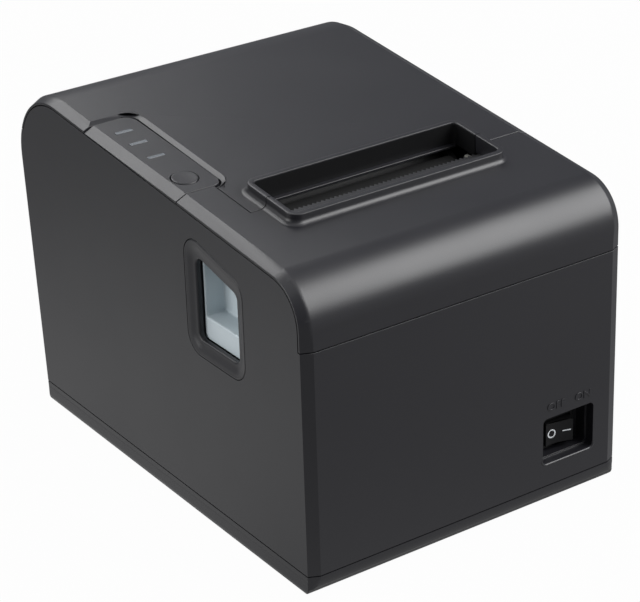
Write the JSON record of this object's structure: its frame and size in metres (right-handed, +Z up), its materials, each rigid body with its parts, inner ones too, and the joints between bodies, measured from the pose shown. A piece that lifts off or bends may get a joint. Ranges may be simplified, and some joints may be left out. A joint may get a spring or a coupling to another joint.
{
  "type": "receipt printer",
  "caption": "Desktop receipt printer with a hinged roll lid, raised paper exit, side open lever, indicator panel and front rocker switch.",
  "frame": {"origin": "middle of the bounding box at the table, under the feet", "axes": "+X to the right seen from the front, front faces -Y, +Z up"},
  "size_m": [0.145, 0.2034, 0.1445],
  "materials": {
    "case_plastic": "matte, fine spark texture",
    "inner_plastic": "matte",
    "lever_plastic": "satin",
    "light_plastic": "frosted",
    "gear_plastic": "satin",
    "rubber": "matte",
    "steel": "satin",
    "brass": "satin",
    "bushing": "satin",
    "board": "gloss solder mask",
    "ceramic": "gloss",
    "head_metal": "satin"
  },
  "bodies": {
    "case": {"base_tray": "case_plastic", "rubber_feet": "rubber", "main_case": "case_plastic", "indicator_panel": "case_plastic", "light_pipe_rear": "light_plastic", "light_pipe_middle": "light_plastic", "light_pipe_front": "light_plastic", "feed_spring": "steel", "feed_switch": "inner_plastic", "panel_board": "board", "lever_bezel": "case_plastic", "lever_spring": "steel", "lid_hinge_pins": "steel", "mechanism_frame": "steel", "head_pivot": "steel", "head_springs": "steel", "idler_pin": "steel", "feed_motor": "steel", "cutter_bed": "steel", "cutter_pin": "steel", "cutter_motor": "steel", "paper_bucket": "inner_plastic", "paper_sensor": "inner_plastic", "switch_body": "inner_plastic", "main_board": "board", "socket_power": "inner_plastic", "socket_usb": "steel", "socket_network": "steel", "socket_drawer": "inner_plastic", "case_screws": "steel"},
    "lid": {"lid": "case_plastic", "lid_liner": "inner_plastic", "platen_bearings": "bushing"},
    "platen": {"platen_shaft": "steel", "platen_rubber": "rubber", "platen_gear": "gear_plastic"},
    "cover": {"front_cover": "case_plastic", "tear_blade": "steel"},
    "idler": {"idler_gear": "gear_plastic"},
    "drive_pinion": {"motor_pinion": "brass"},
    "head": {"print_head": "head_metal", "head_strip": "ceramic"},
    "lever": {"open_lever": "lever_plastic"},
    "latch": {"latch_shaft": "steel", "latch_hooks": "gear_plastic"},
    "feed": {"feed_button": "case_plastic"},
    "rocker": {"power_rocker": "inner_plastic"},
    "cutter_wheel": {"cutter_gear": "gear_plastic"},
    "blade": {"moving_blade": "steel"},
    "cutter_drive": {"cutter_pinion": "brass"}
  },
  "joints": [
    {"name": "lid_hinge", "type": "hinge", "parent": "case", "child": "lid", "pos_m": [0, 0.09856, 0.1212], "axis": [-1, 0, 0], "range_deg": [0, 90]},
    {"name": "platen_spin", "type": "hinge", "parent": "lid", "child": "platen", "pos_m": [0, -0.03796, 0.12], "axis": [1, 0, 0], "continuous": true},
    {"name": "idler_spin", "type": "hinge", "parent": "case", "child": "idler", "pos_m": [0.0524, -0.03796, 0.102], "axis": [1, 0, 0], "continuous": true},
    {"name": "drive_pinion_spin", "type": "hinge", "parent": "case", "child": "drive_pinion", "pos_m": [0.0524, -0.04799, 0.09005], "axis": [1, 0, 0], "continuous": true},
    {"name": "head_tilt", "type": "hinge", "parent": "case", "child": "head", "pos_m": [0, -0.04806, 0.106], "axis": [1, 0, 0], "range_deg": [0, 1.4], "stiffness_Nm_per_rad": 6, "springref_deg": -1.15},
    {"name": "cover_slide", "type": "slide", "parent": "case", "child": "cover", "axis": [0, -1, 0], "range_m": [0, 0.03]},
    {"name": "lever_slide", "type": "slide", "parent": "case", "child": "lever", "axis": [0, 0, -1], "range_m": [0, 0.008], "stiffness_N_per_m": 400, "springref_m": -0.003, "deforming": ["lever_spring"]},
    {"name": "latch_turn", "type": "hinge", "parent": "case", "child": "latch", "pos_m": [0, -0.05366, 0.105], "axis": [1, 0, 0], "range_deg": [0, 14.1]},
    {"name": "feed_press", "type": "slide", "parent": "case", "child": "feed", "axis": [0, 0.0995, -0.995], "range_m": [0, 0.0008], "stiffness_N_per_m": 700, "springref_m": -0.0006},
    {"name": "power_tip", "type": "hinge", "parent": "case", "child": "rocker", "pos_m": [0.049, -0.09096, 0.0292], "axis": [0, 0, 1], "range_deg": [0, 20]},
    {"name": "cutter_turn", "type": "hinge", "parent": "case", "child": "cutter_wheel", "pos_m": [-0.055, -0.07111, 0.12332], "axis": [0, -0.0995, 0.995], "range_deg": [0, 90]},
    {"name": "blade_slide", "type": "slide", "parent": "case", "child": "blade", "axis": [0, 0.995, 0.0995], "range_m": [0, 0.0113]},
    {"name": "cutter_drive_spin", "type": "hinge", "parent": "case", "child": "cutter_drive", "pos_m": [-0.055, -0.08305, 0.12213], "axis": [0, -0.0995, 0.995], "range_deg": [-135.2, 0]}
  ],
  "couplings": [
    {"joint": "idler_spin", "follows": "platen_spin", "ratio": -0.66667},
    {"joint": "drive_pinion_spin", "follows": "platen_spin", "ratio": 1.5},
    {"joint": "latch_turn", "follows": "lever_slide", "rad_per_m": 30.5},
    {"joint": "cutter_turn", "follows": "blade_slide", "rad_per_m": 138.89},
    {"joint": "cutter_drive_spin", "follows": "blade_slide", "rad_per_m": -208.33}
  ]
}
